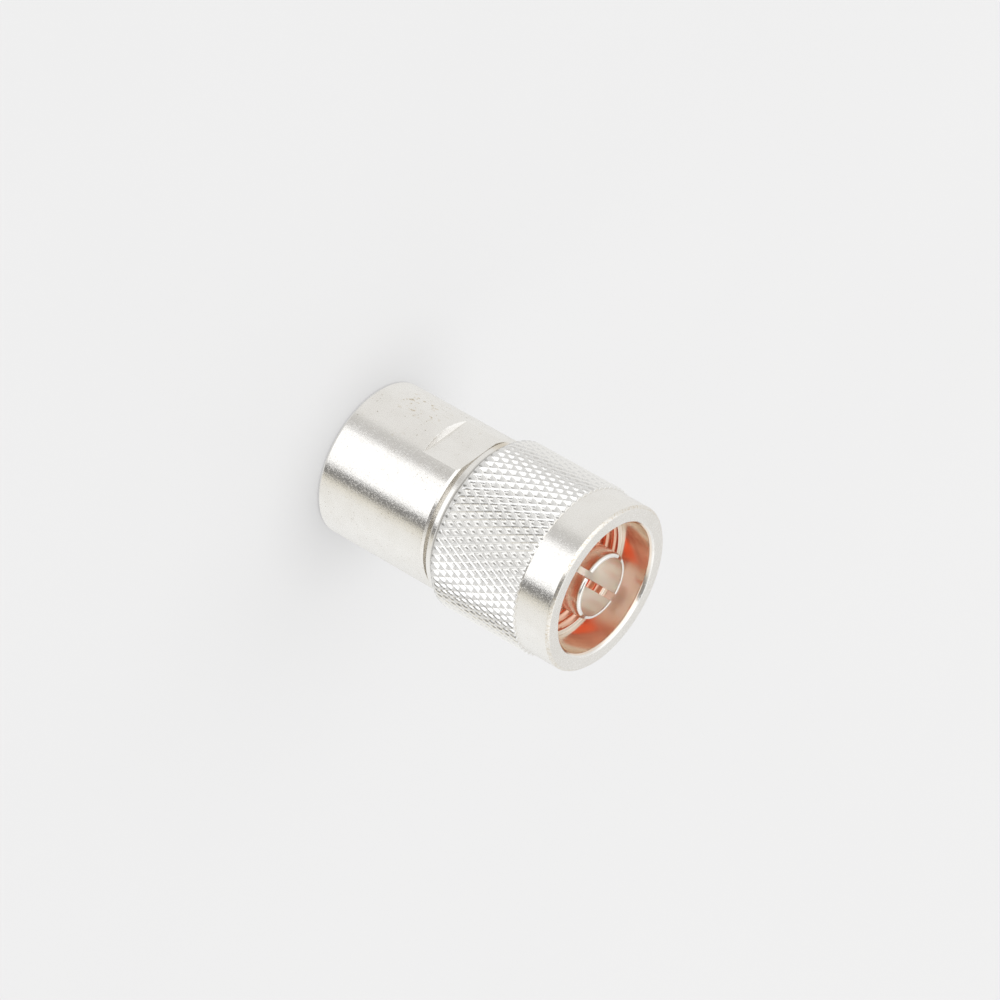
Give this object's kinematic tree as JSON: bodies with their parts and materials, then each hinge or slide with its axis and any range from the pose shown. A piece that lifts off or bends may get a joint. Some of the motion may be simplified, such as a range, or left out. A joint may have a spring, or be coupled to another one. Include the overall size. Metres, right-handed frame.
{
  "type": "n type connector",
  "caption": "Male coaxial plug: a knurled coupling nut spins on a plain turned body with wrench flats, round a slotted outer contact.",
  "frame": {"origin": "centre of the body's rear face, on the connector's axis", "axes": "+Z along the axis from the rear face to the mouth, with the wrench flats facing -Y and +Y"},
  "size_m": [0.021, 0.021, 0.0342],
  "materials": {
    "silver_plate": "satin silver plate over brass, lightly tarnished",
    "contact_plate": "smooth silver plate over spring alloy",
    "bead_plastic": "waxy off-white fluoropolymer",
    "gasket_rubber": "soft orange-red silicone",
    "ring_bronze": "plain spring bronze"
  },
  "bodies": {
    "plug_body": {"body": "silver_plate", "outer_contact": "contact_plate", "insulator": "bead_plastic", "gasket": "gasket_rubber", "retaining_ring": "ring_bronze"},
    "nut": {"coupling_nut": "silver_plate"}
  },
  "joints": [
    {"name": "nut_spin", "type": "hinge", "parent": "plug_body", "child": "nut", "pos_m": [0, 0, 0.0179], "axis": [0, 0, 1], "continuous": true}
  ]
}
